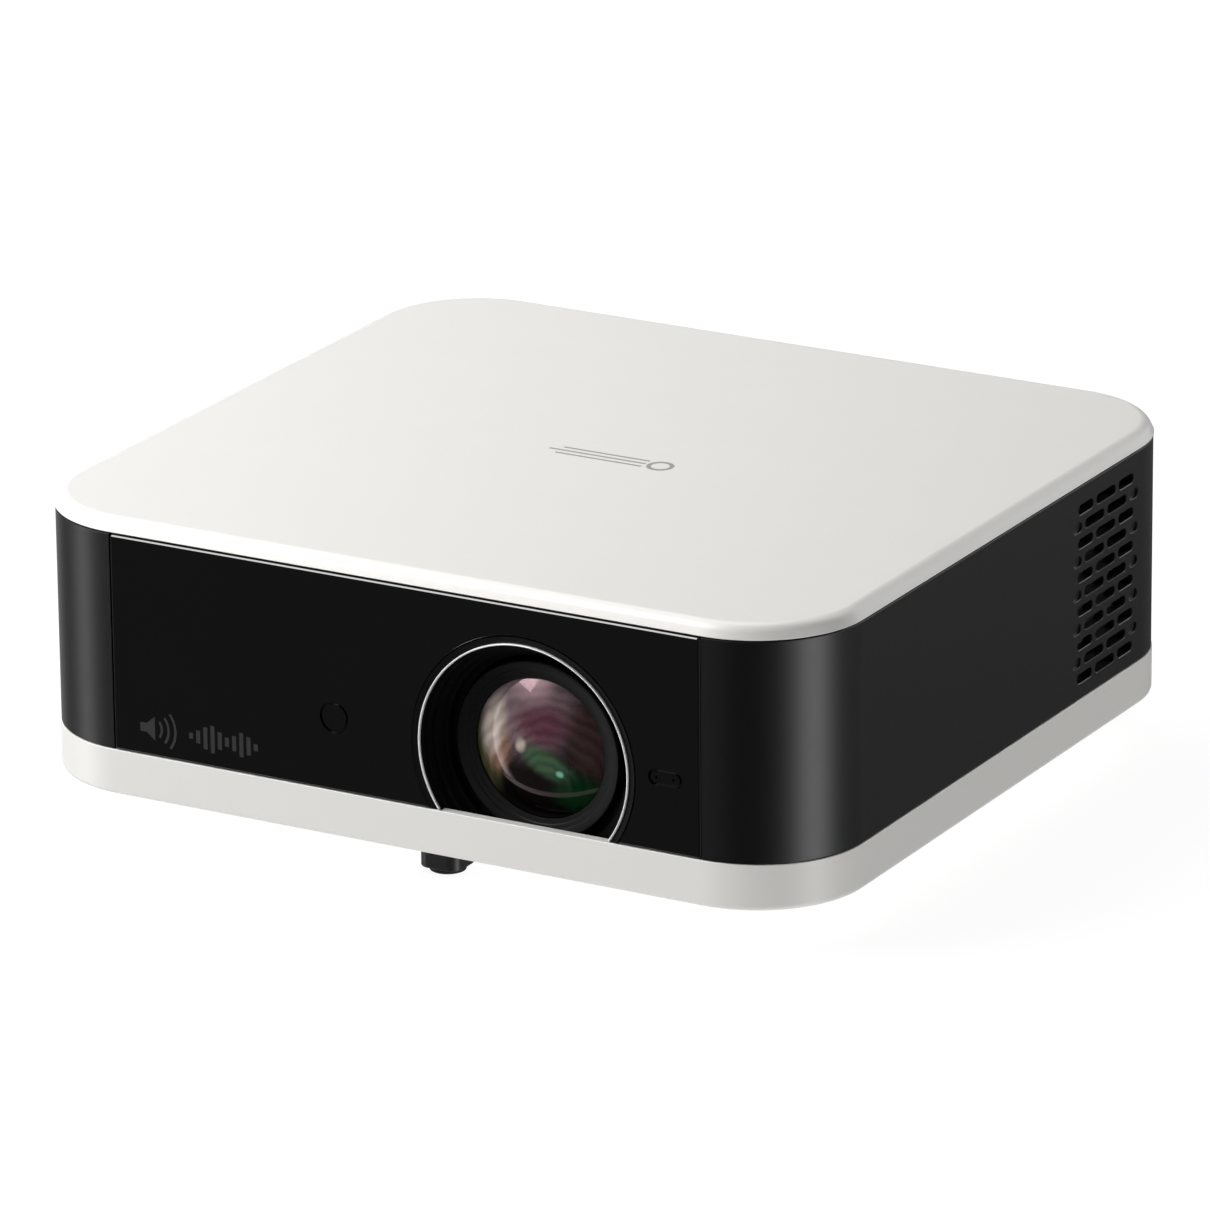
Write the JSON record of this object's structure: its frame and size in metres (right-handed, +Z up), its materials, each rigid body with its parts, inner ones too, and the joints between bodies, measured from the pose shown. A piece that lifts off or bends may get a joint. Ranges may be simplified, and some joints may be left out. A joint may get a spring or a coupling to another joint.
{
  "type": "home projector",
  "caption": "Compact square home projector with a recessed round lens in a gloss black front, white base and lid, side vents and a screw-down front foot.",
  "frame": {"origin": "on the table, below the middle of the case, level with the undersides of the foot pads", "axes": "+Z up, the lens faces -Y, +X is the viewer's right when looking at the lens"},
  "size_m": [0.226, 0.21, 0.0851],
  "materials": {
    "white_shell": "fine satin texture",
    "black_shell": "satin",
    "gloss_panel": "piano black",
    "bright_trim": "turned, bright",
    "black_inner": "matt",
    "dark_window": "dark tinted window",
    "steel": "nickel plated",
    "light_pipe": "clear light pipe",
    "button_plastic": "satin",
    "cone": "coated paper",
    "filter_foam": "open filter mat",
    "fan_plastic": "satin",
    "brass": "machined",
    "lens_glass": "polished",
    "coated_glass": "polished, coated",
    "cell_metal": "satin black",
    "lcd_red": "tinted panel",
    "lcd_green": "tinted panel",
    "lcd_blue": "tinted panel",
    "copper": "copper",
    "cast_metal": "die cast",
    "fin_aluminium": "stamped fins",
    "board_green": "solder mask",
    "board_tan": "paper laminate",
    "flex_film": "flexible film",
    "lead_rubber": "smooth",
    "foot_plastic": "satin",
    "foot_rubber": "matt"
  },
  "bodies": {
    "case": {"base_cover": "white_shell", "side_shell": "black_shell", "top_cover": "white_shell", "front_panel": "gloss_panel", "lens_trim_ring": "bright_trim", "lens_shroud": "black_inner", "camera_window": "dark_window", "range_window": "dark_window", "port_tray": "black_inner", "power_inlet": "black_inner", "hdmi_port": "steel", "usb_port": "steel", "audio_jack": "black_inner", "status_light": "light_pipe", "tripod_insert": "brass", "foot_nut": "brass", "rear_feet": "foot_plastic", "rear_foot_pads": "foot_rubber", "case_screws": "steel", "camera_module": "black_inner", "range_sensor": "black_inner", "button_switch": "black_inner", "speaker_boxes": "black_inner", "speaker_frames": "black_inner", "intake_filter": "filter_foam", "intake_fan_frame": "black_inner", "exhaust_fan_frame": "black_inner", "lens_barrel": "black_inner", "rear_lens_group": "lens_glass", "focus_motor": "steel", "prism_cube": "lens_glass", "lcd_panel_red": "lcd_red", "lcd_panel_green": "lcd_green", "lcd_panel_blue": "lcd_blue", "condenser_lenses": "lens_glass", "led_module_red": "copper", "led_module_green": "copper", "led_module_blue": "copper", "optical_frame": "cast_metal", "main_heatsink": "fin_aluminium", "heat_pipes": "copper", "main_board": "board_green", "io_board": "board_green", "power_board": "board_tan", "wifi_board": "board_green", "board_posts": "steel", "lcd_ribbons": "flex_film", "mains_leads": "lead_rubber", "inner_screws": "steel"},
    "button": {"power_button": "button_plastic"},
    "left_cone": {"speaker_cone_left": "cone"},
    "right_cone": {"speaker_cone_right": "cone"},
    "intake_rotor": {"intake_fan_rotor": "fan_plastic"},
    "exhaust_rotor": {"exhaust_fan_rotor": "fan_plastic"},
    "focus_gear": {"focus_ring": "fan_plastic"},
    "front_cell": {"lens_cell": "cell_metal", "front_lens_group": "coated_glass"},
    "pinion": {"focus_pinion": "brass"},
    "foot_rest": {"foot_pad": "foot_rubber"},
    "foot_grip": {"foot_knob": "foot_plastic"}
  },
  "joints": [
    {"name": "foot_height", "type": "slide", "parent": "case", "child": "foot_rest", "axis": [0, 0, -1], "range_m": [0, 0.0138]},
    {"name": "foot_turn", "type": "hinge", "parent": "foot_rest", "child": "foot_grip", "pos_m": [0, -0.0835, 0.006], "axis": [0, 0, 1], "range_deg": [0, 3313]},
    {"name": "button_press", "type": "slide", "parent": "case", "child": "button", "axis": [0, -1, 0], "range_m": [0, 0.0008], "stiffness_N_per_m": 900, "springref_m": -0.0008},
    {"name": "left_cone_travel", "type": "slide", "parent": "case", "child": "left_cone", "axis": [0, 1, 0], "range_m": [-0.0008, 0.0008], "stiffness_N_per_m": 800},
    {"name": "right_cone_travel", "type": "slide", "parent": "case", "child": "right_cone", "axis": [0, 1, 0], "range_m": [-0.0008, 0.0008], "stiffness_N_per_m": 800},
    {"name": "intake_spin", "type": "hinge", "parent": "case", "child": "intake_rotor", "pos_m": [-0.1, 0.0558, 0.0522], "axis": [1, 0, 0], "continuous": true},
    {"name": "exhaust_spin", "type": "hinge", "parent": "case", "child": "exhaust_rotor", "pos_m": [0.1, 0.0558, 0.0522], "axis": [1, 0, 0], "continuous": true},
    {"name": "focus_turn", "type": "hinge", "parent": "case", "child": "focus_gear", "pos_m": [0.0342, -0.06, 0.0415], "axis": [0, 1, 0], "range_deg": [-45.5, 45.5]},
    {"name": "cell_travel", "type": "slide", "parent": "case", "child": "front_cell", "axis": [0, 1, 0], "range_m": [-0.001, 0.001]},
    {"name": "pinion_spin", "type": "hinge", "parent": "case", "child": "pinion", "pos_m": [0.00822, -0.062, 0.0565], "axis": [0, 1, 0], "range_deg": [-182, 182]}
  ],
  "couplings": [
    {"joint": "foot_turn", "follows": "foot_height", "rad_per_m": 4188.8},
    {"joint": "focus_turn", "follows": "cell_travel", "rad_per_m": 785.4},
    {"joint": "pinion_spin", "follows": "cell_travel", "rad_per_m": -3141.6}
  ]
}
